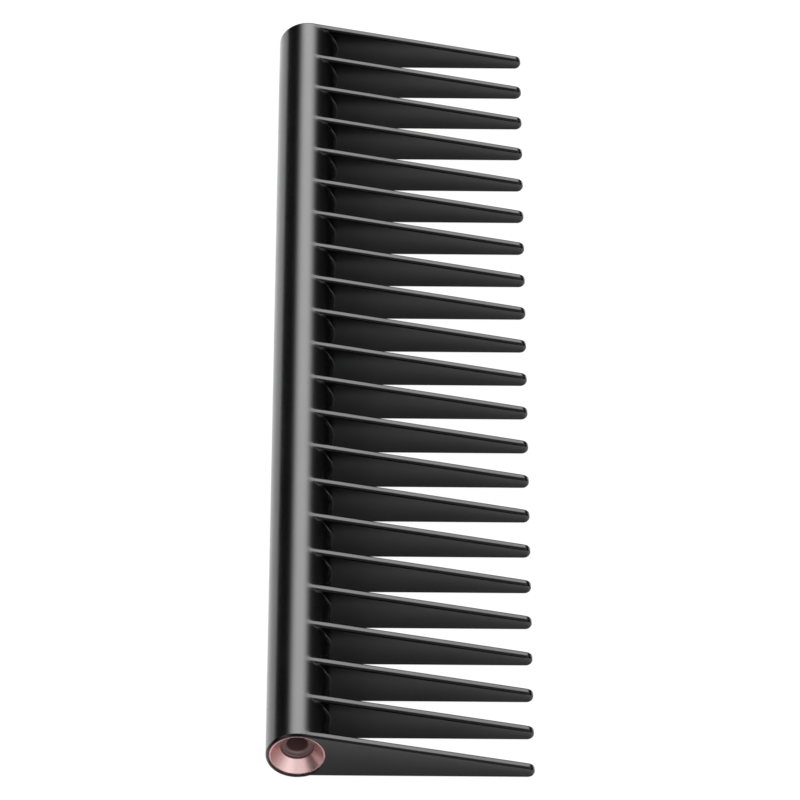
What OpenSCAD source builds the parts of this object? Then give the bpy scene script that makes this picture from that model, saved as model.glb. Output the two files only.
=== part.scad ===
// Wide-tooth detangling comb, lying on its side as it rests on a table.
// A hollow round spine carries one row of flat tapered teeth. A metallic
// funnel is let into each end of the spine. The comb touches the table along
// the underside of the spine and at the tips of the teeth.
//
// Frame: millimetres, +Z up, the table is z = 0. +Y runs along the spine from
// the front end to the rear end. The teeth point to +X and slope down by the
// angle at which the comb lies. The origin is on the table, in the middle of
// the comb's footprint.

/* [Spine] */
// Outside diameter of the round spine
spine_d = 11; // [10.5:0.1:13]
// Length of the comb from end face to end face
comb_len = 189.7; // [150:0.1:220]
// Diameter of the hollow inside the spine
hollow_d = 7.8; // [6.6:0.1:8]

/* [Teeth] */
// Distance from the axis of the spine to the centre of a tooth's round tip
tooth_reach = 40.4; // [30:0.2:50]
// Width of a tooth where its straight sides leave the spine
tooth_root_w = 10.4; // [7:0.1:10.4]
// How far the middle of a tooth's root lies above the spine's axis
tooth_rise = 0.2; // [0:0.05:0.2]
// Width of a tooth across its round tip
tooth_tip_w = 2.5; // [1.6:0.1:3.6]
// Thickness of a tooth at its root
tooth_root_t = 1.6; // [1.4:0.05:2.6]
// Thickness of a tooth at its tip
tooth_tip_t = 1.5; // [1.0:0.05:1.6]
// Radius of the hollow fillet where a tooth's flat face meets the spine
root_fillet = 0.6; // [0.3:0.05:1.0]

/* [End funnels] */
// Thickness of the spine's lip round each funnel's rim
lip_t = 0.55; // [0.3:0.05:0.8]
// How far the rim lies behind the end face of the spine
rim_recess = 0.3; // [0.2:0.05:1.0]
// Radial width of the flat rim
rim_w = 0.35; // [0.2:0.05:0.6]
// Depth of the funnel's cone, from its rim to its throat
cone_depth = 1.9; // [1.0:0.1:2.4]
// Diameter of the funnel's throat, the round pocket behind the cone
throat_d = 5.8; // [4.6:0.1:6.2]
// Depth of the pocket, from the throat's edge to its flat shelf
flange_back = 0.6; // [0.4:0.1:1.0]
// Diameter of the bore through the middle of the shelf
bore_d = 3.6; // [2.8:0.1:4.2]
// Length of the sleeve that holds the funnel in the spine
sleeve_len = 10; // [6:0.5:16]

/* [Hidden] */

tooth_count = 22;
spine_r = spine_d / 2;
root_r = tooth_root_w / 2;
tip_r = tooth_tip_w / 2;
// The first and the last tooth are flush with the ends of the spine.
pitch = (comb_len - tooth_root_t) / (tooth_count - 1);
// Angle at which the comb lies: the tips touch the table with the spine.
lie = asin((spine_r - tip_r) / tooth_reach);
// Length and slope of a tooth's middle line, from the root to the round tip.
span = norm([tooth_reach, tooth_rise]);
drop = atan(tooth_rise / tooth_reach);
// Angle of a tooth's straight sides to its middle line: they touch the root
// circle and the tip circle.
side = asin((root_r - tip_r) / span);
// The taper in thickness starts just outside the root fillet.
taper_x = spine_r + root_fillet + 0.4;
// Outside diameter of a funnel's rim, which fills the spine's lip.
rim_d = spine_d - 2 * lip_t;
// Depth of the seat that takes the flange at each end of the spine.
seat_depth = rim_recess + cone_depth + flange_back;
// Footprint of the lying comb along X.
x_low = -spine_r;
x_high = tooth_reach * cos(lie) + tip_r;
over = 1;

// Takes a shape from the comb's own frame (the spine's axis is Y, the teeth
// point to +X, the front end is y = 0) and lays it on the table.
module laid() {
    translate([-(x_low + x_high) / 2, -comb_len / 2, spine_r])
        rotate([0, lie, 0])
            children();
}

// Turns a shape made round Z into one round the spine's axis.
module along_spine() {
    rotate([-90, 0, 0])
        children();
}

// The two straight sides of a tooth, seen along the spine. Up is -Y here.
module tooth_side_view() {
    translate([0, -tooth_rise])
        rotate(drop)
            polygon([
                [root_r * sin(side), root_r * cos(side)],
                [span + tip_r * sin(side), tip_r * cos(side)],
                [span + tip_r * sin(side), -tip_r * cos(side)],
                [root_r * sin(side), -root_r * cos(side)]
            ]);
}

// A tooth seen from above: parallel at the root, then slightly tapered.
module tooth_top_view() {
    polygon([
        [0, -tooth_root_t / 2],
        [taper_x, -tooth_root_t / 2],
        [tooth_reach + tip_r + over, -tooth_tip_t / 2],
        [tooth_reach + tip_r + over, tooth_tip_t / 2],
        [taper_x, tooth_root_t / 2],
        [0, tooth_root_t / 2]
    ]);
}

// Section of the hollow fillet on one flat face of a tooth, as seen beside the
// spine's axis: u is the distance from the axis, v the distance along it.
module fillet_section() {
    difference() {
        translate([spine_r - over, tooth_root_t / 2 - 0.5])
            square([over + root_fillet, 0.5 + root_fillet]);
        translate([spine_r + root_fillet, tooth_root_t / 2 + root_fillet])
            circle(r = root_fillet, $fn = 64);
    }
}

// One tooth, with its middle at y = 0 in the comb's own frame. A fillet is
// added on the flat faces that have spine in front of them.
module tooth(front_fillet, rear_fillet) {
    difference() {
        intersection() {
            along_spine()
                union() {
                    linear_extrude(height = 3 * tooth_root_t + 4 * root_fillet, center = true)
                        tooth_side_view();
                    translate([tooth_reach, 0, 0])
                        cylinder(r = tip_r, h = 3 * tooth_root_t + 4 * root_fillet, center = true, $fn = 96);
                }
            union() {
                linear_extrude(height = 2 * spine_d, center = true)
                    tooth_top_view();
                if (rear_fillet)
                    along_spine()
                        rotate_extrude($fn = 180)
                            fillet_section();
                if (front_fillet)
                    mirror([0, 1, 0])
                        along_spine()
                            rotate_extrude($fn = 180)
                                fillet_section();
            }
        }
        along_spine()
            cylinder(r = spine_r, h = 4 * pitch, center = true, $fn = 180);
    }
}

// Tooth number n, counted from the front end.
module placed_tooth(n) {
    laid()
        translate([0, tooth_root_t / 2 + (n - 1) * pitch, 0])
            tooth(n > 1, n < tooth_count);
}

// The round spine: a tube with a seat for a funnel at each end.
module spine_tube() {
    color([0.03, 0.03, 0.032])
        laid()
            along_spine()
                difference() {
                    cylinder(r = spine_r, h = comb_len, $fn = 180);
                    translate([0, 0, -over])
                        cylinder(d = hollow_d, h = comb_len + 2 * over, $fn = 120);
                    translate([0, 0, -over])
                        cylinder(d = rim_d, h = seat_depth + over, $fn = 120);
                    translate([0, 0, comb_len - seat_depth])
                        cylinder(d = rim_d, h = seat_depth + over, $fn = 120);
                }
}

// Half section of a funnel: u from the axis, v from the end face inwards.
module funnel_section() {
    polygon([
        [rim_d / 2 - rim_w, rim_recess],
        [rim_d / 2, rim_recess],
        [rim_d / 2, seat_depth],
        [hollow_d / 2, seat_depth],
        [hollow_d / 2, seat_depth + sleeve_len],
        [bore_d / 2, seat_depth + sleeve_len],
        [bore_d / 2, seat_depth],
        [throat_d / 2, seat_depth],
        [throat_d / 2, rim_recess + cone_depth]
    ]);
}

module funnel() {
    along_spine()
        rotate_extrude($fn = 120)
            funnel_section();
}

// The metallic funnel in the front end of the spine.
module front_end_funnel() {
    color([0.76, 0.6, 0.6])
        laid()
            funnel();
}

// The same funnel, turned round, in the rear end of the spine.
module rear_end_funnel() {
    color([0.76, 0.6, 0.6])
        laid()
            translate([0, comb_len, 0])
                mirror([0, 1, 0])
                    funnel();
}

module tooth_01() { color([0.05, 0.05, 0.052]) placed_tooth(1); }
module tooth_02() { color([0.05, 0.05, 0.052]) placed_tooth(2); }
module tooth_03() { color([0.05, 0.05, 0.052]) placed_tooth(3); }
module tooth_04() { color([0.05, 0.05, 0.052]) placed_tooth(4); }
module tooth_05() { color([0.05, 0.05, 0.052]) placed_tooth(5); }
module tooth_06() { color([0.05, 0.05, 0.052]) placed_tooth(6); }
module tooth_07() { color([0.05, 0.05, 0.052]) placed_tooth(7); }
module tooth_08() { color([0.05, 0.05, 0.052]) placed_tooth(8); }
module tooth_09() { color([0.05, 0.05, 0.052]) placed_tooth(9); }
module tooth_10() { color([0.05, 0.05, 0.052]) placed_tooth(10); }
module tooth_11() { color([0.05, 0.05, 0.052]) placed_tooth(11); }
module tooth_12() { color([0.05, 0.05, 0.052]) placed_tooth(12); }
module tooth_13() { color([0.05, 0.05, 0.052]) placed_tooth(13); }
module tooth_14() { color([0.05, 0.05, 0.052]) placed_tooth(14); }
module tooth_15() { color([0.05, 0.05, 0.052]) placed_tooth(15); }
module tooth_16() { color([0.05, 0.05, 0.052]) placed_tooth(16); }
module tooth_17() { color([0.05, 0.05, 0.052]) placed_tooth(17); }
module tooth_18() { color([0.05, 0.05, 0.052]) placed_tooth(18); }
module tooth_19() { color([0.05, 0.05, 0.052]) placed_tooth(19); }
module tooth_20() { color([0.05, 0.05, 0.052]) placed_tooth(20); }
module tooth_21() { color([0.05, 0.05, 0.052]) placed_tooth(21); }
module tooth_22() { color([0.05, 0.05, 0.052]) placed_tooth(22); }

spine_tube();
front_end_funnel();
rear_end_funnel();
tooth_01();
tooth_02();
tooth_03();
tooth_04();
tooth_05();
tooth_06();
tooth_07();
tooth_08();
tooth_09();
tooth_10();
tooth_11();
tooth_12();
tooth_13();
tooth_14();
tooth_15();
tooth_16();
tooth_17();
tooth_18();
tooth_19();
tooth_20();
tooth_21();
tooth_22();
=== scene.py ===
"""Visual model of a wide-tooth detangling comb that lies on a pale table.

The comb is a hollow round spine with 22 flat tapered teeth in black satin-gloss
plastic, and a rose-coloured metal funnel let into each end of the spine. The
real spine and teeth are one moulding, so the visual spine and the visual teeth
meet on shared outlines: each tooth carries its own root fillet, and the surface
runs on across the joint. Each piece is a closed mesh and stands for one CAD node.

All sizes below are millimetres in the comb's own frame: Y is the spine's axis
with the front end at y = 0, the teeth point to +X. place() lays the comb on the
table and turns millimetres into metres.
"""

import math

import bpy
import numpy as np
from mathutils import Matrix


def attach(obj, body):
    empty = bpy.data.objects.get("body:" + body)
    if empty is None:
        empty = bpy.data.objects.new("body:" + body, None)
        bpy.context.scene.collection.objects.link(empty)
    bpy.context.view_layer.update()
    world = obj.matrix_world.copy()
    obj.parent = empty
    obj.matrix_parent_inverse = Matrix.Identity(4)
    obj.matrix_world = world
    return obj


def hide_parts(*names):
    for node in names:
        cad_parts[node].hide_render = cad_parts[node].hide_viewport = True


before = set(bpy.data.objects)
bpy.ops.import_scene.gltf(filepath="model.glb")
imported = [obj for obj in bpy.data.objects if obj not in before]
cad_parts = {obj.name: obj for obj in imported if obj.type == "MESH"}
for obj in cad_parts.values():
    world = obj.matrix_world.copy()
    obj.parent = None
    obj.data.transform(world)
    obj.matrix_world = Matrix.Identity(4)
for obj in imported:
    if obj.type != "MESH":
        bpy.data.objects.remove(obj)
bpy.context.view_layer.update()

# ---------------------------------------------------------------- sizes

MM = 0.001
SPINE_R, COMB_L = 5.5, 189.7
REACH, ROOT_R, TIP_R = 40.4, 5.24, 1.25
RISE = 0.23  # height of a tooth's root circle above the spine's axis
ROOT_T, TIP_T, TAPER_X, OVER = 1.6, 1.5, 6.5, 1.0
TEETH = 22
EDGE = 0.5  # rounding along a tooth's long edges
FILLET = 0.6  # hollow fillet where a tooth meets the spine
SWEEP = 60.0  # radius of the sweep from the spine's top into a tooth's upper side
END_ROUND = 0.5  # rounding of the spine's outer end edges
RIM_R, RIM_RECESS, RIM_W = 4.95, 0.3, 0.35
CONE_DEPTH, THROAT_R, FLANGE_BACK, SLEEVE_L = 1.9, 2.9, 0.6, 10.0
HOLLOW_R, BORE_R = 3.9, 1.8
CREST = 0.08  # rounding of the lip's inner edge
SEAT = RIM_RECESS + CONE_DEPTH + FLANGE_BACK

PITCH = (COMB_L - ROOT_T) / (TEETH - 1)
LIE = math.asin((SPINE_R - TIP_R) / REACH)
SHIFT_X = -(-SPINE_R + REACH * math.cos(LIE) + TIP_R) / 2

# A tooth's centre line runs from the root circle's centre to the tip's centre.
# Sizes along and across it are called a tooth's own x and w below.
LENGTH = math.hypot(REACH, RISE)
ALONG = np.array([REACH, -RISE]) / LENGTH
UP = np.array([RISE, REACH]) / LENGTH
SIDE = math.asin((ROOT_R - TIP_R) / LENGTH)

# The sweep's centre: it touches the spine and the line of the upper side.
UPPER_N = math.sin(SIDE) * ALONG + math.cos(SIDE) * UP
UPPER_T = np.array([UPPER_N[1], -UPPER_N[0]])
LINE_AT = RISE * UPPER_N[1] + ROOT_R + SWEEP
SWEEP_AT = LINE_AT * UPPER_N + UPPER_T * math.sqrt(
    (SPINE_R + SWEEP) ** 2 - LINE_AT**2
)

# Mesh density
ACROSS = 40  # quads across a tooth's face
ARC, FLAT = 6, 4  # quads round one long edge, and on the band between the edges
BAND = 2 * ARC + FLAT
MARGIN = 0.9
REACH_OF_ROOT = ROOT_T / 2 + MARGIN  # half length of the spine patch that a tooth takes
FIRST_OUT = FILLET + 0.05  # height of a tooth's first full loop above the spine


def place(points):
    """Comb frame in millimetres to the row's frame in metres."""
    p = np.asarray(points, float)
    c, s = math.cos(LIE), math.sin(LIE)
    x = p[:, 0] * c + p[:, 2] * s + SHIFT_X
    z = -p[:, 0] * s + p[:, 2] * c + SPINE_R
    return np.stack([x, p[:, 1] - COMB_L / 2, z], 1) * MM


def turn(vectors):
    """Directions from the comb frame to the row's frame."""
    v = np.asarray(vectors, float)
    c, s = math.cos(LIE), math.sin(LIE)
    return np.stack([v[:, 0] * c + v[:, 2] * s, v[:, 1], -v[:, 0] * s + v[:, 2] * c], 1)


# ---------------------------------------------------------------- the moulding's surface


def rounded(d1, d2, g1, g2, r):
    """Distance and gradient of two faces that meet in an edge of radius r."""
    a, b = np.maximum(d1, 0), np.maximum(d2, 0)
    out = np.hypot(a, b)
    value = out + np.minimum(np.maximum(d1, d2), 0) - r
    safe = np.where(out > 1e-12, out, 1)[:, None]
    outside = (a[:, None] * g1 + b[:, None] * g2) / safe
    inside = np.where((d1 > d2)[:, None], g1, g2)
    return value, np.where((out > 1e-12)[:, None], outside, inside)


def spine_field(p):
    """Distance to the spine's outside, a round bar with rounded ends."""
    x, y, z = p.T
    r = np.maximum(np.hypot(x, z), 1e-9)
    g1 = np.stack([x / r, 0 * x, z / r], 1)
    half = COMB_L / 2
    g2 = np.stack([0 * x, np.where(y < half, -1.0, 1.0), 0 * x], 1)
    return rounded(
        r - (SPINE_R - END_ROUND),
        abs(y - half) - (half - END_ROUND),
        g1,
        g2,
        END_ROUND,
    )


def thickness(x):
    t = (x - TAPER_X) / (REACH + TIP_R + OVER - TAPER_X)
    return ROOT_T + (TIP_T - ROOT_T) * np.clip(t, 0, 1)


def tooth_field(p, middle):
    """Distance to one tooth, whose middle plane is y = middle."""
    y = p[:, 1]
    flat = p[:, [0, 2]]
    from_root = flat - (0.0, RISE)
    x, w = from_root @ ALONG, from_root @ UP
    s, w = np.where(w < 0, -1.0, 1.0), abs(w)
    r1, r2 = ROOT_R - EDGE, TIP_R - EDGE
    b = (r1 - r2) / LENGTH
    a = math.sqrt(1 - b * b)
    k = a * x - b * w
    d_side = a * w + b * x - r1
    d_root, d_tip = np.hypot(x, w), np.hypot(x - LENGTH, w)
    root, tip = k < 0, k > a * LENGTH
    d1 = np.where(root, d_root - r1, np.where(tip, d_tip - r2, d_side))
    n_root = np.maximum(d_root, 1e-9)
    n_tip = np.maximum(d_tip, 1e-9)
    gx = np.where(root, x / n_root, np.where(tip, (x - LENGTH) / n_tip, b))
    gw = np.where(root, w / n_root, np.where(tip, w / n_tip, a)) * s
    g = gx[:, None] * ALONG + gw[:, None] * UP
    # On the upper side the plate runs up to the spine's surface ...
    far = np.maximum(np.hypot(flat[:, 0], flat[:, 1]), 1e-9)
    disc = far - (SPINE_R - EDGE)
    use = (flat[:, 1] > 0) & (disc < d1)
    d1 = np.where(use, disc, d1)
    g = np.where(use[:, None], flat / far[:, None], g)
    # ... and sweeps out of it into the tooth's straight side.
    q = flat - SWEEP_AT
    out = np.maximum(np.hypot(q[:, 0], q[:, 1]), 1e-9)
    past = q[:, 0] * SWEEP_AT[1] - q[:, 1] * SWEEP_AT[0]
    use = (q @ UPPER_T < 0) & (past > 0) & (out < SWEEP + EDGE + 1.5)
    d1 = np.where(use, SWEEP + EDGE - out, d1)
    g = np.where(use[:, None], -q / out[:, None], g)
    g1 = np.stack([g[:, 0], 0 * y, g[:, 1]], 1)
    side = np.where(y < middle, -1.0, 1.0)
    g2 = np.stack([0 * y, side, 0 * y], 1)
    half = thickness(flat[:, 0]) / 2
    return rounded(d1, abs(y - middle) - (half - EDGE), g1, g2, EDGE)


def moulding_field(p, middle):
    """Distance to the spine and one tooth together, with a rolling-ball fillet."""
    a, ga = spine_field(p)
    b, gb = tooth_field(p, middle)
    c = np.clip((ga * gb).sum(1), -0.999, 0.9995)
    u, v = FILLET - a, FILLET - b
    ball = np.maximum(u * u + v * v - 2 * c * u * v, 0) / (1 - c * c)
    return np.where(
        (u - c * v > 0) & (v - c * u > 0), FILLET - np.sqrt(ball), np.minimum(a, b)
    )


def slope(p, middle, h=2e-4):
    g = np.empty_like(p)
    for k in range(3):
        d = np.zeros(3)
        d[k] = h
        g[:, k] = (moulding_field(p + d, middle) - moulding_field(p - d, middle)) / (
            2 * h
        )
    return g


def settle(p, middle, steps=12):
    """Moves points onto the moulding's surface."""
    p = np.array(p, float)
    for _ in range(steps):
        f = moulding_field(p, middle)
        g = slope(p, middle)
        p -= (f / np.maximum((g * g).sum(1), 0.2))[:, None] * g
    return p


def unit(v):
    return v / np.maximum(np.linalg.norm(v, axis=1), 1e-12)[:, None]


# ---------------------------------------------------------------- the spine's grid

# Columns run round the spine, as angles from the teeth's direction: across the
# roots of the teeth from +60 to -60 degrees, then round the back.
ABOVE = [68.0, 78.0, 88.0, 96.0]  # columns beside the roots
BELOW = [66.0, 72.0, 78.0, 84.0]
columns = list(np.linspace(60, -60, ACROSS + 1)) + [-c for c in BELOW]
columns += list(np.linspace(-BELOW[-1], ABOVE[-1] - 360, 46))[1:]
columns += [c - 360 for c in ABOVE[-2::-1]]
COLS = len(columns)
theta = np.radians(columns)
round_dir = np.stack([np.cos(theta), 0 * theta, np.sin(theta)], 1)


def centre_of(n):
    """Middle plane of tooth n, counted from 1 at the front end."""
    return ROOT_T / 2 + (n - 1) * PITCH


def front_crest():
    """For each column: the lip's crest beside the front funnel, and its normal."""
    r = np.full(COLS, RIM_R + CREST)
    for _ in range(12):
        p = round_dir * r[:, None]
        p[:, 1] = 0.1
        for _ in range(20):
            f = moulding_field(p, centre_of(1))
            g = slope(p, centre_of(1))
            p[:, 1] -= np.clip(f / np.minimum(g[:, 1], -0.2), -0.2, 0.2)
        n = unit(slope(p, centre_of(1)))
        r = RIM_R + CREST + CREST * np.clip((n * round_dir).sum(1), 0, 1)
    return p, n


crest_p, crest_n = front_crest()

rows, normals = [], []  # outer surface, front to rear, then the inside back again


def add_row(points, directions):
    rows.append(np.array(points))
    normals.append(unit(np.array(directions)))


def mirrored(points):
    q = np.array(points)
    q[:, 1] = COMB_L - q[:, 1]
    return q


def flipped(directions):
    q = np.array(directions)
    q[:, 1] = -q[:, 1]
    return q


def ring(r, y):
    p = round_dir * r
    p[:, 1] = y
    return p


plain_crest = math.acos((RIM_R + CREST - (SPINE_R - END_ROUND)) / (END_ROUND - CREST))
END_ARC, END_ROWS = 4, 4


def end_arc(k):
    """Point ring k of the rounded end, from the crest (0) to the bar (END_ARC)."""
    a = plain_crest * (1 - k / END_ARC)
    p = ring(
        SPINE_R - END_ROUND + END_ROUND * math.cos(a),
        END_ROUND - END_ROUND * math.sin(a),
    )
    n = round_dir * math.cos(a)
    n[:, 1] = -math.sin(a)
    return p, n


add_row(crest_p, crest_n)
for k in range(1, END_ARC + 1):
    add_row(*end_arc(k))
front_first = 0  # row index of the front crest
near = centre_of(1) + REACH_OF_ROOT
end_ys = np.linspace(END_ROUND, near, END_ROWS + 1)
for y in end_ys[1:]:
    add_row(ring(SPINE_R, y), round_dir)
first_rows = {1: 0}  # row index where each tooth's patch starts
last_rows = {1: len(rows) - 1}
SHORT = BAND - 6  # quads along the short side of a middle tooth's patch
for n in range(2, TEETH + 1):
    y0 = centre_of(n - 1) + REACH_OF_ROOT
    y1 = centre_of(n) - REACH_OF_ROOT
    for y in np.linspace(y0, y1, 5)[1:]:
        add_row(ring(SPINE_R, y), round_dir)
    first_rows[n] = len(rows) - 1
    if n < TEETH:
        for y in np.linspace(y1, y1 + 2 * REACH_OF_ROOT, SHORT + 1)[1:]:
            add_row(ring(SPINE_R, y), round_dir)
        last_rows[n] = len(rows) - 1
for y in end_ys[-2:0:-1]:
    add_row(mirrored(ring(SPINE_R, y)), round_dir)
for k in range(END_ARC, 0, -1):
    p, n = end_arc(k)
    add_row(mirrored(p), flipped(n))
add_row(mirrored(crest_p), flipped(crest_n))
last_rows[TEETH] = len(rows) - 1
OUTER_ROWS = len(rows)


def crest_row(t):
    """The lip's inner edge: from the crest (t = 0) to the wall inside (t = 1)."""
    centre = crest_p - CREST * crest_n
    inward = -round_dir
    cosine = np.clip((crest_n * inward).sum(1), -1, 1)
    whole = np.arccos(cosine)
    s = np.sin(whole)
    n = (np.sin((1 - t) * whole) / s)[:, None] * crest_n
    n += (np.sin(t * whole) / s)[:, None] * inward
    return centre + CREST * n, n


def inside_half(direction):
    """Rows from the lip's crest to the middle of the bore, front end."""
    out = [crest_row(t) for t in (0.25, 0.5, 0.75, 1.0)]
    for r, y in ((RIM_R, 0.22), (RIM_R, RIM_RECESS), (RIM_R, SEAT)):
        out.append((ring(r, y), -round_dir))
    slant = -round_dir.copy()
    slant[:, 1] = -1
    out.append((ring(HOLLOW_R, SEAT), slant))
    for y in (SEAT + 4, SEAT + 12, SEAT + 30, SEAT + 60):
        out.append((ring(HOLLOW_R, y), -round_dir))
    return out


front_inside = inside_half(1)
for p, n in front_inside:
    add_row(mirrored(p), flipped(n))
for p, n in reversed(front_inside):
    add_row(p, n)
grid = np.array(rows)
grid_n = np.array(normals)
ROWS = len(grid)


def patch_columns(n):
    """Column indices across tooth n's patch, from its upper to its lower side."""
    extra = 4 if n in (1, TEETH) else 3
    left = [COLS - k for k in range(extra, 0, -1)]
    return left + list(range(ACROSS + 1)) + [ACROSS + k for k in range(1, extra + 1)]


def patch(n):
    """(rows, columns) of the spine's grid under tooth n, as index arrays."""
    return np.arange(first_rows[n], last_rows[n] + 1), np.array(patch_columns(n))


def quads(width, height, wrap_x, wrap_y):
    """Faces of a grid of height rows and width columns."""
    xs = np.arange(width if wrap_x else width - 1)
    ys = np.arange(height if wrap_y else height - 1)
    y, x = np.meshgrid(ys, xs, indexing="ij")
    y1, x1 = (y + 1) % height, (x + 1) % width
    f = np.stack([y * width + x, y * width + x1, y1 * width + x1, y1 * width + x], -1)
    return f.reshape(-1, 4)


def cell_faces(corners, row, column, rows_in, columns_in):
    """A patch's cell as faces. The cells at the patch's corners split towards the middle."""
    top, left = row == 0, column == 0
    edge_row = top or row == rows_in - 1
    edge_column = left or column == columns_in - 1
    a, b, c, d = corners
    if not (edge_row and edge_column):
        return [(a, b, c, d)]
    if top == left:
        return [(a, b, c), (a, c, d)]
    return [(a, b, d), (b, c, d)]


def spine_faces():
    """The spine's grid as faces."""
    faces = [tuple(f) for f in quads(COLS, ROWS, True, True)]
    split = {}
    for n in range(1, TEETH + 1):
        r, c = patch(n)
        for i in (0, len(r) - 2):
            for j in (0, len(c) - 2):
                k = int(r[i] * COLS + c[j])
                split[k] = cell_faces(faces[k], i, j, len(r) - 1, len(c) - 1)
    out = []
    for k, face in enumerate(faces):
        out += split.get(k, [face])
    return out


def volume(points, faces):
    total = 0.0
    for f in faces:
        for k in range(1, len(f) - 1):
            a, b, c = points[f[0]], points[f[k]], points[f[k + 1]]
            total += np.dot(a, np.cross(b, c))
    return total / 6


def new_piece(name, points, faces, directions, material, *nodes):
    """A mesh object from comb-frame points, with its own smooth normals."""
    points = np.asarray(points, float)
    faces = [tuple(int(i) for i in f) for f in faces]
    if volume(points - points.mean(0), faces) < 0:
        faces = [f[::-1] for f in faces]
    mesh = bpy.data.meshes.new(name)
    mesh.from_pydata(place(points).tolist(), [], faces)
    mesh.materials.append(material)
    mesh.polygons.foreach_set("use_smooth", [True] * len(mesh.polygons))
    mesh.update()
    mesh.normals_split_custom_set_from_vertices(turn(unit(directions)).tolist())
    obj = bpy.data.objects.new(name, mesh)
    bpy.context.scene.collection.objects.link(obj)
    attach(obj, "root")
    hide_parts(*nodes)
    return obj


# ---------------------------------------------------------------- one tooth


def outline(q=None, beta=None):
    """Upper point of a tooth's inner outline and its outward direction, in its own x and w."""
    r1, r2 = ROOT_R - EDGE, TIP_R - EDGE
    if beta is None:
        r = r1 + (r2 - r1) * q
        n = np.array([math.sin(SIDE), math.cos(SIDE)])
        return np.array([q * LENGTH, 0.0]) + r * n, n
    n = np.array([math.cos(beta), math.sin(beta)])
    return np.array([LENGTH, 0.0]) + r2 * n, n


def from_own(points):
    """From a tooth's own x, y and w to the comb frame."""
    p = np.asarray(points, float)
    flat = p[:, [0]] * ALONG + p[:, [2]] * UP + (0.0, RISE)
    return np.stack([flat[:, 0], p[:, 1], flat[:, 1]], 1)


def fillet_steps():
    """Fractions between the patch's edge and the first full loop, even round the fillet."""
    out = [0.5 * (MARGIN - FILLET) / MARGIN]
    for k in range(11):
        a = math.radians(min(9.0 * k, 89.9))
        top = FILLET * math.tan(a) + (MARGIN - FILLET)
        out.append(top / (MARGIN + FIRST_OUT * math.tan(a)))
    return out


def band_profile(half):
    """(offset, height) of each point of the band, from the rear face to the front face."""
    out = []
    for k in range(ARC + 1):
        a = math.pi / 2 * k / ARC
        out.append((EDGE * math.sin(a), half - EDGE + EDGE * math.cos(a)))
    for k in range(1, FLAT):
        out.append((EDGE, (half - EDGE) * (1 - 2 * k / FLAT)))
    for k in range(ARC, -1, -1):
        a = math.pi / 2 * k / ARC
        out.append((EDGE * math.sin(a), -(half - EDGE) - EDGE * math.cos(a)))
    return out


def body_loop(p, n, middle, bow=0.0):
    """One closed loop round the tooth. bow bends its face lines to a circle round the axis."""
    half = float(thickness(np.array([p[0]]))[0]) / 2
    across = np.linspace(1, -1, ACROSS + 1)
    straight = np.stack([np.full(ACROSS + 1, p[0]), across * p[1]], 1)
    if bow > 0:
        r, a = math.hypot(*p), math.atan2(p[1], p[0])
        bent = np.stack([r * np.cos(a * across), r * np.sin(a * across)], 1)
        straight = straight * (1 - bow) + bent * bow
    rear = [(x, middle + half, z) for x, z in straight]
    front = [(x, middle - half, z) for x, z in straight[::-1]]
    lower, upper = [], []
    for off, h in band_profile(half):
        lower.append((p[0] + off * n[0], middle + h, -(p[1] + off * n[1])))
        upper.append((p[0] + off * n[0], middle + h, p[1] + off * n[1]))
    upper = upper[::-1]
    return from_own(rear[:-1] + lower[:-1] + front[:-1] + upper[:-1])


def root_loop(n):
    """The outline of tooth n's patch on the spine, in the order of body_loop."""
    r, c = patch(n)
    extra = 4 if n == 1 else 3
    top, low = c[: extra + 1], c[-extra - 1 :]
    rear, front = r[-1], r[0]
    keys = [(rear, k) for k in c[extra:-extra]][:-1]
    keys += [(rear, k) for k in low][:-1]
    keys += [(k, c[-1]) for k in r[::-1]][:-1]
    keys += [(front, k) for k in low[::-1]][:-1]
    keys += [(front, k) for k in c[extra:-extra][::-1]][:-1]
    keys += [(front, k) for k in top[::-1]][:-1]
    keys += [(k, c[0]) for k in r][:-1]
    keys += [(rear, k) for k in top][:-1]
    return keys


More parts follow.
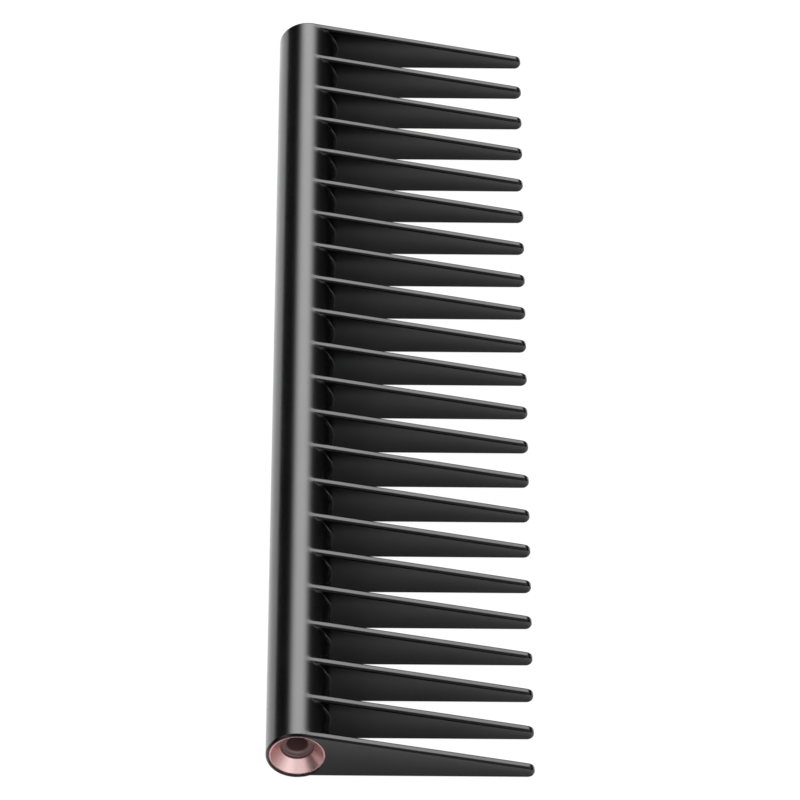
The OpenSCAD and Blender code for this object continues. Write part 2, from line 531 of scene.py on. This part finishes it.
def make_tooth(n):
    """Points, faces and normals of tooth n. Only 1 and 2 are made; the others are copies."""
    middle = centre_of(n)
    keys = root_loop(n)
    start = np.array([grid[k] for k in keys])
    start_n = np.array([grid_n[k] for k in keys])
    # The first body loop lies just outside the root fillet.
    target = SPINE_R + FIRST_OUT
    lo, hi = 0.0, 0.5
    for _ in range(60):
        mid = (lo + hi) / 2
        if math.hypot(*outline(q=mid)[0]) < target:
            lo = mid
        else:
            hi = mid
    p, d = outline(q=lo)
    first = body_loop(p, d, middle, bow=1.0)
    loops = [start]
    for t in fillet_steps():
        loops.append(settle(start * (1 - t) + first * t, middle))
    loops.append(settle(first, middle))
    qs = np.concatenate(
        [np.linspace(lo, 0.2, 6)[1:], np.linspace(0.2, 1.0, 14)[1:]]
    )
    for q in qs:
        bow = max(0.0, 1 - (q - lo) / (0.2 - lo))
        p, d = outline(q=q)
        loops.append(settle(body_loop(p, d, middle, bow=bow), middle))
    tips = np.linspace(math.pi / 2 - SIDE, 0, 11)[1:]
    for beta in tips[:-1]:
        p, d = outline(beta=beta)
        loops.append(settle(body_loop(p, d, middle), middle))
    p, d = outline(beta=0.0)
    half = float(thickness(np.array([p[0]]))[0]) / 2
    nose = settle(
        from_own([(p[0] + off, middle + h, 0.0) for off, h in band_profile(half)]),
        middle,
    )
    size = len(start)
    points = np.concatenate(loops + [nose])
    directions = np.concatenate([start_n, unit(slope(points[size:], middle))])
    faces = list(quads(size, len(loops), True, False))
    # Close the tip on its nose line.
    base, nose0 = (len(loops) - 1) * size, len(loops) * size
    rear0, lower0 = 0, ACROSS
    front0, upper0 = ACROSS + BAND, 2 * ACROSS + BAND
    for k in range(ACROSS):
        faces.append((base + rear0 + k, base + rear0 + k + 1, nose0))
        faces.append((base + front0 + k, base + front0 + k + 1, nose0 + BAND))
    for k in range(BAND):
        faces.append(
            (base + lower0 + k, base + lower0 + k + 1, nose0 + k + 1, nose0 + k)
        )
        a, b = base + upper0 + k, base + (upper0 + k + 1) % size
        faces.append((a, b, nose0 + BAND - k - 1, nose0 + BAND - k))
    # Close the root inside the spine's wall.
    r, c = patch(n)
    index = {key: i for i, key in enumerate(keys)}
    extra_p, extra_n = [], []
    depth = 0.2 if n == 1 else 0.35
    for i in r:
        for j in c:
            if (i, j) not in index:
                index[(i, j)] = len(points) + len(extra_p)
                extra_p.append(plain[i, j] - depth * plain_n[i, j])
                extra_n.append(-plain_n[i, j])
    for a in range(len(r) - 1):
        for b in range(len(c) - 1):
            cell = [
                index[(r[a + i], c[b + j])]
                for i, j in ((0, 0), (0, 1), (1, 1), (1, 0))
            ]
            faces += cell_faces(cell, a, b, len(r) - 1, len(c) - 1)
    points = np.concatenate([points, extra_p])
    directions = np.concatenate([directions, extra_n])
    return points, faces, directions


def same_way(faces):
    """Turns faces so that neighbours agree, starting from the first one."""
    edges = {}
    for i, f in enumerate(faces):
        for a, b in zip(f, f[1:] + f[:1]):
            edges.setdefault((min(a, b), max(a, b)), []).append(i)
    faces = [list(f) for f in faces]
    seen, todo = {0}, [0]
    while todo:
        i = todo.pop()
        f = faces[i]
        for a, b in zip(f, f[1:] + f[:1]):
            for j in edges[(min(a, b), max(a, b))]:
                if j in seen:
                    continue
                g = faces[j]
                if any(x == a and y == b for x, y in zip(g, g[1:] + g[:1])):
                    g.reverse()
                seen.add(j)
                todo.append(j)
    return [tuple(f) for f in faces]


# The grid's points under the teeth are plain spine, and then sink a little so
# that they stay inside the plastic.
plain, plain_n = grid.copy(), grid_n.copy()
for n in range(1, TEETH + 1):
    r, c = patch(n)
    inner_r, inner_c = r[1:-1], c[1:-1]
    depth = 0.1 if n in (1, TEETH) else 0.15
    block = np.ix_(inner_r, inner_c)
    grid[block] = plain[block] - depth * plain_n[block]

# ---------------------------------------------------------------- the funnels


def arc_profile(corners):
    """A profile from (r, y, corner radius) corners, closed, with rounded corners and normals."""
    pts, nrm = [], []
    count = len(corners)
    for i, (r, y, rad) in enumerate(corners):
        p = np.array([r, y])
        a = np.array(corners[i - 1][:2]) - p
        b = np.array(corners[(i + 1) % count][:2]) - p
        a, b = a / np.linalg.norm(a), b / np.linalg.norm(b)
        half = math.acos(np.clip(a @ b, -1, 1)) / 2
        cut = rad / math.tan(half)
        p0, p1 = p + a * cut, p + b * cut
        mid = (a + b) / np.linalg.norm(a + b)
        centre = p + mid * rad / math.sin(half)
        n0, n1 = (p0 - centre) / rad, (p1 - centre) / rad
        whole = math.acos(np.clip(n0 @ n1, -1, 1))
        steps = max(3, int(math.ceil(whole / math.radians(15))))
        hollow = (a[0] * b[1] - a[1] * b[0]) < 0
        for k in range(steps + 1):
            t = k / steps
            n = (math.sin((1 - t) * whole) * n0 + math.sin(t * whole) * n1) / math.sin(
                whole
            )
            pts.append(centre + rad * n)
            nrm.append(-n if hollow else n)
    return np.array(pts), np.array(nrm)


def make_funnel():
    """Points, faces and normals of the front funnel."""
    gap = 0.01
    corners = [
        (RIM_R - gap, RIM_RECESS, 0.07),
        (RIM_R - RIM_W, RIM_RECESS, 0.09),
        (THROAT_R, RIM_RECESS + CONE_DEPTH, 0.15),
        (THROAT_R, SEAT, 0.2),
        (BORE_R, SEAT, 0.45),
        (BORE_R, SEAT + SLEEVE_L, 0.1),
        (HOLLOW_R - gap, SEAT + SLEEVE_L, 0.1),
        (HOLLOW_R - gap, SEAT - gap, 0.05),
        (RIM_R - gap, SEAT - gap, 0.05),
    ]
    pts, nrm = arc_profile(corners)
    # Extra rings on the long stretches keep the quads even.
    points2, normals2 = [], []
    for i in range(len(pts)):
        j = (i + 1) % len(pts)
        length = np.linalg.norm(pts[j] - pts[i])
        steps = max(1, int(length / 0.55))
        steps = min(steps, 8)
        for k in range(steps):
            t = k / steps
            points2.append(pts[i] * (1 - t) + pts[j] * t)
            normals2.append(nrm[i] * (1 - t) + nrm[j] * t)
    around = 128
    angle = np.arange(around) * 2 * math.pi / around
    c, s = np.cos(angle), np.sin(angle)
    points, directions = [], []
    for (r, y), (nr, ny) in zip(points2, normals2):
        points.append(np.stack([r * c, np.full(around, y), r * s], 1))
        directions.append(np.stack([nr * c, np.full(around, ny), nr * s], 1))
    faces = [tuple(f) for f in quads(around, len(points), True, True)]
    return np.concatenate(points), faces, np.concatenate(directions)


# ---------------------------------------------------------------- materials


def node_tree(name):
    material = bpy.data.materials.new(name)
    material.use_nodes = True
    tree = material.node_tree
    tree.nodes.clear()
    out = tree.nodes.new("ShaderNodeOutputMaterial")
    shader = tree.nodes.new("ShaderNodeBsdfPrincipled")
    tree.links.new(shader.outputs["BSDF"], out.inputs["Surface"])
    return material, tree, shader


def add(tree, kind, **values):
    node = tree.nodes.new(kind)
    for key, value in values.items():
        if key in node.inputs:
            node.inputs[key].default_value = value
        else:
            setattr(node, key, value)
    return node


def noise(tree, coords, scale, detail=2.0, rough=0.5):
    node = add(tree, "ShaderNodeTexNoise")
    node.inputs["Scale"].default_value = scale
    node.inputs["Detail"].default_value = detail
    node.inputs["Roughness"].default_value = rough
    tree.links.new(coords, node.inputs["Vector"])
    return node.outputs["Fac"]


def ramp(tree, value, low, high):
    """Maps 0.3..0.7 of a noise to low..high."""
    node = add(tree, "ShaderNodeMapRange")
    node.inputs["From Min"].default_value = 0.3
    node.inputs["From Max"].default_value = 0.7
    node.inputs["To Min"].default_value = low
    node.inputs["To Max"].default_value = high
    tree.links.new(value, node.inputs["Value"])
    return node.outputs["Result"]


def black_plastic():
    """Satin-gloss black plastic: a fine moulded grain under a soft shine."""
    material, tree, shader = node_tree("black_satin_plastic")
    coords = add(tree, "ShaderNodeTexCoord").outputs["Object"]
    cloud = noise(tree, coords, 140.0, 3.0)
    grain = noise(tree, coords, 5200.0, 2.0, 0.6)
    colour = add(tree, "ShaderNodeMix", data_type="RGBA")
    colour.inputs[6].default_value = (0.0010, 0.0010, 0.0011, 1)
    colour.inputs[7].default_value = (0.0021, 0.0021, 0.0022, 1)
    tree.links.new(cloud, colour.inputs[0])
    tree.links.new(colour.outputs[2], shader.inputs["Base Color"])
    tree.links.new(ramp(tree, cloud, 0.205, 0.235), shader.inputs["Roughness"])
    bump = add(tree, "ShaderNodeBump")
    bump.inputs["Strength"].default_value = 0.35
    bump.inputs["Distance"].default_value = 0.000004
    tree.links.new(grain, bump.inputs["Height"])
    wave = noise(tree, coords, 260.0, 1.0)
    bump2 = add(tree, "ShaderNodeBump")
    bump2.inputs["Strength"].default_value = 0.5
    bump2.inputs["Distance"].default_value = 0.000006
    tree.links.new(wave, bump2.inputs["Height"])
    tree.links.new(bump.outputs["Normal"], bump2.inputs["Normal"])
    tree.links.new(bump2.outputs["Normal"], shader.inputs["Normal"])
    shader.inputs["IOR"].default_value = 1.5
    return material


def rose_metal():
    """Rose-coloured anodised metal with fine turning marks."""
    material, tree, shader = node_tree("rose_anodised_metal")
    coords = add(tree, "ShaderNodeTexCoord").outputs["Object"]
    cloud = noise(tree, coords, 420.0, 2.0)
    colour = add(tree, "ShaderNodeMix", data_type="RGBA")
    colour.inputs[6].default_value = (0.54, 0.31, 0.305, 1)
    colour.inputs[7].default_value = (0.60, 0.345, 0.34, 1)
    tree.links.new(cloud, colour.inputs[0])
    # Behind the throat's edge at each end the colour is painted shade: a dark brown that stands
    # in for the dim light down the bore, on a nearly matt, barely metallic surface so that the
    # lamps light it evenly.
    apart = add(tree, "ShaderNodeSeparateXYZ")
    tree.links.new(coords, apart.inputs[0])
    ends = add(tree, "ShaderNodeMath", operation="ABSOLUTE")
    tree.links.new(apart.outputs["Y"], ends.inputs[0])
    edge = (COMB_L / 2 - RIM_RECESS - CONE_DEPTH) * MM
    behind = add(tree, "ShaderNodeMapRange")
    behind.inputs["From Min"].default_value = edge - 0.00002
    behind.inputs["From Max"].default_value = edge - 0.00012
    tree.links.new(ends.outputs[0], behind.inputs["Value"])
    both = add(tree, "ShaderNodeMix", data_type="RGBA")
    # painted shade of the throat's inside
    both.inputs[7].default_value = (0.085, 0.042, 0.041, 1)
    tree.links.new(behind.outputs["Result"], both.inputs[0])
    tree.links.new(colour.outputs[2], both.inputs[6])
    tree.links.new(both.outputs[2], shader.inputs["Base Color"])
    metal = add(tree, "ShaderNodeMapRange")
    metal.inputs["To Min"].default_value = 1.0
    metal.inputs["To Max"].default_value = 0.15
    tree.links.new(behind.outputs["Result"], metal.inputs["Value"])
    tree.links.new(metal.outputs["Result"], shader.inputs["Metallic"])
    tree.links.new(ramp(tree, cloud, 0.35, 0.41), shader.inputs["Roughness"])
    grain = noise(tree, coords, 4200.0, 2.0)
    bump = add(tree, "ShaderNodeBump")
    bump.inputs["Strength"].default_value = 0.4
    bump.inputs["Distance"].default_value = 0.000004
    tree.links.new(grain, bump.inputs["Height"])
    tree.links.new(bump.outputs["Normal"], shader.inputs["Normal"])
    return material


black = black_plastic()
rose = rose_metal()

# ---------------------------------------------------------------- the pieces

spine = new_piece(
    "spine_moulding",
    grid.reshape(-1, 3),
    spine_faces(),
    grid_n.reshape(-1, 3),
    black,
    "spine_tube",
)

end_p, end_f, end_n = make_tooth(1)
mid_p, mid_f, mid_n = make_tooth(2)
end_f, mid_f = same_way([tuple(f) for f in end_f]), same_way([tuple(f) for f in mid_f])
for n in range(1, TEETH + 1):
    if n == 1:
        p, f, d = end_p, end_f, end_n
    elif n == TEETH:
        p, f, d = mirrored(end_p), end_f, flipped(end_n)
    else:
        p, f, d = mid_p + (0, centre_of(n) - centre_of(2), 0), mid_f, mid_n
    tooth = new_piece(f"tooth_{n:02d}_moulding", p, f, d, black, f"tooth_{n:02d}")

funnel_p, funnel_f, funnel_n = make_funnel()
front = new_piece(
    "front_funnel_insert", funnel_p, funnel_f, funnel_n, rose, "front_end_funnel"
)
rear = new_piece(
    "rear_funnel_insert",
    mirrored(funnel_p),
    funnel_f,
    flipped(funnel_n),
    rose,
    "rear_end_funnel",
)

# ---------------------------------------------------------------- the table


# Where the table's painted dark side begins, in metres of x
PAINTED_SHADE_EDGE = (0.07, 0.13)


def table_material():
    material = bpy.data.materials.new("pale_table")
    material.use_nodes = True
    tree = material.node_tree
    tree.nodes.clear()
    out = tree.nodes.new("ShaderNodeOutputMaterial")
    diffuse = add(tree, "ShaderNodeBsdfDiffuse")
    # A little way to the right of the comb the table turns dark for reflections and bounce light
    # alone: a painted dark reflection, while camera rays still see the table almost white.
    coords = add(tree, "ShaderNodeTexCoord").outputs["Object"]
    apart = add(tree, "ShaderNodeSeparateXYZ")
    tree.links.new(coords, apart.inputs[0])
    painted_shade_mask = add(tree, "ShaderNodeMapRange", interpolation_type="SMOOTHSTEP")
    painted_shade_mask.inputs["From Min"].default_value = PAINTED_SHADE_EDGE[0]
    painted_shade_mask.inputs["From Max"].default_value = PAINTED_SHADE_EDGE[1]
    tree.links.new(apart.outputs["X"], painted_shade_mask.inputs["Value"])
    colour = add(tree, "ShaderNodeMix", data_type="RGBA")
    colour.inputs[6].default_value = (0.82, 0.82, 0.82, 1)
    # painted shade: the dark side that shiny surfaces reflect
    colour.inputs[7].default_value = (0.03, 0.03, 0.03, 1)
    tree.links.new(painted_shade_mask.outputs["Result"], colour.inputs[0])
    tree.links.new(colour.outputs[2], diffuse.inputs["Color"])
    glow = add(tree, "ShaderNodeEmission")
    glow.inputs["Color"].default_value = (1, 1, 1, 1)
    glow.inputs["Strength"].default_value = 1.04
    seen = add(tree, "ShaderNodeMixShader")
    seen.inputs[0].default_value = 0.05
    tree.links.new(glow.outputs[0], seen.inputs[1])
    tree.links.new(diffuse.outputs[0], seen.inputs[2])
    path = add(tree, "ShaderNodeLightPath")
    both = add(tree, "ShaderNodeMixShader")
    tree.links.new(path.outputs["Is Camera Ray"], both.inputs[0])
    tree.links.new(diffuse.outputs[0], both.inputs[1])
    tree.links.new(seen.outputs[0], both.inputs[2])
    tree.links.new(both.outputs[0], out.inputs["Surface"])
    return material


def make_table():
    side, cells = 4.0, 16
    ticks = np.linspace(-side, side, cells + 1)
    y, x = np.meshgrid(ticks, ticks, indexing="ij")
    points = np.stack([x.ravel(), y.ravel(), np.full(x.size, -0.00003)], 1)
    mesh = bpy.data.meshes.new("table_top")
    mesh.from_pydata(
        points.tolist(), [], quads(cells + 1, cells + 1, False, False).tolist()
    )
    mesh.materials.append(table_material())
    obj = bpy.data.objects.new("table_top", mesh)
    bpy.context.scene.collection.objects.link(obj)


def make_flag():
    """A small black card beside the front funnel, which only shiny surfaces see."""
    corners = [(-0.034, -0.130), (-0.034, -0.0968)]
    points = [(x, y, z) for x, y in corners for z in (0.0, 0.016)]
    mesh = bpy.data.meshes.new("flag_card")
    mesh.from_pydata(points, [], [(0, 1, 3, 2)])
    material = bpy.data.materials.new("black_card")
    material.use_nodes = True
    tree = material.node_tree
    tree.nodes.clear()
    out = tree.nodes.new("ShaderNodeOutputMaterial")
    matt = add(tree, "ShaderNodeBsdfDiffuse")
    matt.inputs["Color"].default_value = (0.01, 0.01, 0.01, 1)
    tree.links.new(matt.outputs[0], out.inputs["Surface"])
    mesh.materials.append(material)
    obj = bpy.data.objects.new("flag_card", mesh)
    obj.visible_camera = False
    obj.visible_diffuse = False
    obj.visible_shadow = False
    bpy.context.scene.collection.objects.link(obj)


make_table()
make_flag()

# ---------------------------------------------------------------- light


def direction(azimuth, elevation):
    """Azimuth 0 is behind the comb (+Y), 90 is to its right (+X)."""
    a, e = math.radians(azimuth), math.radians(elevation)
    return (math.sin(a) * math.cos(e), math.cos(a) * math.cos(e), math.sin(e))


# Soft boxes: (azimuth, elevation, brightness, half angle, how even its middle is)
SOFT_BOXES = [
    (3.0, 49.0, 7.4, 19.5, 2.0),
    (30.0, 36.0, 0.2, 12.0, 1.0),
    (-90.0, -2.0, 0.9, 8.0, 1.0),
    (-60.0, -2.0, 0.7, 8.0, 1.0),
    # These shape the comb as it is seen from its other sides.
    (270.0, 50.0, 2.6, 12.0, 1.5),
    (90.0, 55.0, 2.2, 12.0, 1.5),
    (148.0, 30.0, 2.0, 10.0, 1.5),
    (212.0, 30.0, 2.0, 10.0, 1.5),
]
ROOM = 0.03


def studio():
    world = bpy.data.worlds.new("studio")
    bpy.context.scene.world = world
    world.use_nodes = True
    tree = world.node_tree
    tree.nodes.clear()
    out = tree.nodes.new("ShaderNodeOutputWorld")
    coords = add(tree, "ShaderNodeTexCoord").outputs["Generated"]
    total = None
    for azimuth, elevation, brightness, half_angle, evenness in SOFT_BOXES:
        dot = add(tree, "ShaderNodeVectorMath", operation="DOT_PRODUCT")
        dot.inputs[1].default_value = direction(azimuth, elevation)
        tree.links.new(coords, dot.inputs[0])
        minus = add(tree, "ShaderNodeMath", operation="SUBTRACT")
        minus.use_clamp = True
        minus.inputs[0].default_value = 1.0
        tree.links.new(dot.outputs["Value"], minus.inputs[1])
        ratio = add(tree, "ShaderNodeMath", operation="DIVIDE")
        tree.links.new(minus.outputs[0], ratio.inputs[0])
        ratio.inputs[1].default_value = 1 - math.cos(math.radians(half_angle))
        power = add(tree, "ShaderNodeMath", operation="POWER")
        tree.links.new(ratio.outputs[0], power.inputs[0])
        power.inputs[1].default_value = evenness
        lobe = add(tree, "ShaderNodeMath", operation="POWER")
        lobe.inputs[0].default_value = 0.5
        tree.links.new(power.outputs[0], lobe.inputs[1])
        scaled = add(tree, "ShaderNodeMath", operation="MULTIPLY_ADD")
        tree.links.new(lobe.outputs[0], scaled.inputs[0])
        scaled.inputs[1].default_value = brightness
        if total is None:
            scaled.inputs[2].default_value = ROOM
        else:
            tree.links.new(total, scaled.inputs[2])
        total = scaled.outputs[0]
    room = add(tree, "ShaderNodeBackground")
    room.inputs["Color"].default_value = (1, 1, 1, 1)
    tree.links.new(total, room.inputs["Strength"])
    wall = add(tree, "ShaderNodeBackground")
    wall.inputs["Color"].default_value = (1, 1, 1, 1)
    wall.inputs["Strength"].default_value = 1.0
    path = add(tree, "ShaderNodeLightPath")
    both = add(tree, "ShaderNodeMixShader")
    tree.links.new(path.outputs["Is Camera Ray"], both.inputs[0])
    tree.links.new(room.outputs[0], both.inputs[1])
    tree.links.new(wall.outputs[0], both.inputs[2])
    tree.links.new(both.outputs[0], out.inputs["Surface"])


def table_light(name, azimuth, elevation, size, radiance, distance=2.5):
    """A soft lamp that lights the table and isn't mirrored in the gloss."""
    lamp = bpy.data.lights.new(name, "AREA")
    lamp.shape = "DISK"
    lamp.size = size
    lamp.energy = radiance * math.pi * math.pi * (size / 2) ** 2
    obj = bpy.data.objects.new(name, lamp)
    d = np.array(direction(azimuth, elevation))
    obj.location = tuple(d * distance)
    a, e = math.radians(azimuth), math.radians(elevation)
    obj.rotation_euler = (math.pi / 2 - e, 0, math.pi - a)
    obj.visible_camera = False
    obj.visible_glossy = False
    bpy.context.scene.collection.objects.link(obj)
    return obj


def metal_light(name, azimuth, elevation, size, radiance, colour, distance=0.9):
    """A small lamp for the metal funnels alone, which the plastic doesn't mirror."""
    lamp = bpy.data.lights.new(name, "AREA")
    lamp.shape = "DISK"
    lamp.size = size
    lamp.color = colour
    lamp.energy = radiance * math.pi * math.pi * (size / 2) ** 2
    obj = bpy.data.objects.new(name, lamp)
    d = np.array(direction(azimuth, elevation))
    obj.location = tuple(d * distance + (-0.018, -0.0948, 0.0055))
    a, e = math.radians(azimuth), math.radians(elevation)
    obj.rotation_euler = (math.pi / 2 - e, 0, math.pi - a)
    obj.visible_camera = False
    bpy.context.scene.collection.objects.link(obj)
    obj.light_linking.receiver_collection = metal_only
    obj.light_linking.blocker_collection = metal_only
    return obj


metal_only = bpy.data.collections.new("metal_pieces")
for piece in (front, rear):
    metal_only.objects.link(piece)

studio()
table_light("table_light_back", 0, 44, 1.5, 11.0)
table_light("table_light_right", 95, 28, 1.2, 6.0)
table_light("table_light_front", 185, 30, 1.6, 3.0)
table_light("table_light_left", 270, 45, 1.4, 1.7)
metal_light("metal_light_bowl", 150, 38, 1.9, 1.7, (0.76, 1.0, 1.0))
metal_light("metal_light_side", 234, 34, 0.7, 1.1, (0.85, 1.0, 1.0))
metal_light("metal_light_rim", 180, -44, 0.5, 1.0, (0.94, 1.0, 1.0))

# ---------------------------------------------------------------- camera and colour

camera = bpy.data.cameras.new("photo_camera")
camera.lens = 290.85
camera.sensor_width = 36.0
camera.sensor_fit = "HORIZONTAL"
camera.clip_start, camera.clip_end = 0.05, 20.0
viewer = bpy.data.objects.new("photo_camera", camera)
viewer.location = (-0.000060, -0.86105, 0.82950)
viewer.rotation_euler = (math.radians(90 - 43.9218), 0, 0)
bpy.context.scene.collection.objects.link(viewer)
bpy.context.scene.camera = viewer

settings = bpy.context.scene.view_settings
settings.view_transform = "Standard"
settings.look = "None"
settings.exposure = 0.0
settings.gamma = 1.0
